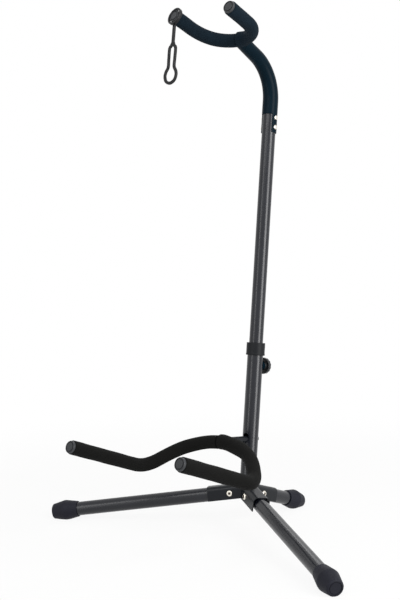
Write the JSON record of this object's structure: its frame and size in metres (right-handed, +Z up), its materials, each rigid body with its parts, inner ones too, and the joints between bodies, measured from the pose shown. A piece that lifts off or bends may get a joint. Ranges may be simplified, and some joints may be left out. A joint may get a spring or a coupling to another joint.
{
  "type": "folding guitar stand",
  "caption": "Floor stand for a guitar: folding legs on a pressed hub, a telescoping leaning mast, a padded cradle for the body, and a padded neck yoke with a retaining strap.",
  "frame": {"origin": "On the floor, under the middle of the stand's bounding box.", "axes": "+Z is up along the stand's greatest height, -Y is the front where the guitar rests, and X runs sideways across the cradle, with the strap on the -X arm of the yoke."},
  "size_m": [0.5644, 0.4154, 0.8027],
  "materials": {
    "satin_black_steel": "satin black powder coat on steel tube",
    "bright_rivet_steel": "bright nickel plated rivet heads",
    "plain_steel": "plain zinc plated steel, mostly out of sight",
    "black_plastic": "moulded black plastic, semi matt",
    "grey_plastic": "moulded dark grey plastic",
    "black_foam": "closed cell foam sleeve, matt",
    "foot_rubber": "moulded black rubber, matt",
    "strap_rubber": "moulded black rubber, slight sheen"
  },
  "bodies": {
    "base": {"hub_spider": "satin_black_steel", "leg_pivot_rivets": "bright_rivet_steel", "leg_pivot_washers": "plain_steel", "lower_tube": "satin_black_steel", "height_collar": "black_plastic", "clamp_nut": "satin_black_steel"},
    "clamp": {"clamp_screw": "plain_steel", "clamp_knob": "black_plastic"},
    "upper": {"upper_tube": "satin_black_steel", "upper_guide_plug": "black_plastic", "neck_tube": "satin_black_steel", "neck_rivets": "bright_rivet_steel", "yoke_rod": "plain_steel", "yoke_sleeve_left": "black_foam", "yoke_sleeve_right": "black_foam", "yoke_cap_left": "grey_plastic", "yoke_cap_right": "grey_plastic"},
    "strap": {"neck_strap": "strap_rubber"},
    "cradle": {"cradle_stem": "satin_black_steel", "cradle_rod": "plain_steel", "cradle_sleeve_left": "black_foam", "cradle_sleeve_right": "black_foam", "cradle_cap_left": "grey_plastic", "cradle_cap_right": "grey_plastic"},
    "leg_left": {"leg_tube_left": "satin_black_steel", "leg_foot_left": "foot_rubber"},
    "leg_right": {"leg_tube_right": "satin_black_steel", "leg_foot_right": "foot_rubber"},
    "leg_rear": {"leg_tube_rear": "satin_black_steel", "leg_foot_rear": "foot_rubber"}
  },
  "joints": [
    {"name": "leg_left_fold", "type": "hinge", "parent": "base", "child": "leg_left", "pos_m": [-0.02234, 0.05086, 0.05126], "axis": [0.5, -0.8588, 0.1115], "range_deg": [0, 78]},
    {"name": "leg_right_fold", "type": "hinge", "parent": "base", "child": "leg_right", "pos_m": [0.02234, 0.05086, 0.05126], "axis": [0.5, 0.8588, -0.1115], "range_deg": [0, 78]},
    {"name": "leg_rear_fold", "type": "hinge", "parent": "base", "child": "leg_rear", "pos_m": [0, 0.08924, 0.04628], "axis": [-1, 0, 0], "range_deg": [0, 78]},
    {"name": "height_slide", "type": "slide", "parent": "base", "child": "upper", "axis": [0, 0.1288, 0.9917], "range_m": [-0.043, 0.055]},
    {"name": "clamp_knob_turn", "type": "hinge", "parent": "base", "child": "clamp", "pos_m": [0, 0.10934, 0.24837], "axis": [0, 0.9917, -0.1288], "range_deg": [0, 540]},
    {"name": "cradle_pull_out", "type": "slide", "parent": "base", "child": "cradle", "axis": [0, -0.9917, 0.1288], "range_m": [0, 0.028]},
    {"name": "strap_swing", "type": "hinge", "parent": "upper", "child": "strap", "pos_m": [-0.05202, -0.01911, 0.78912], "axis": [-0.0938, -0.9176, 0.3862], "range_deg": [-60, 70]}
  ]
}
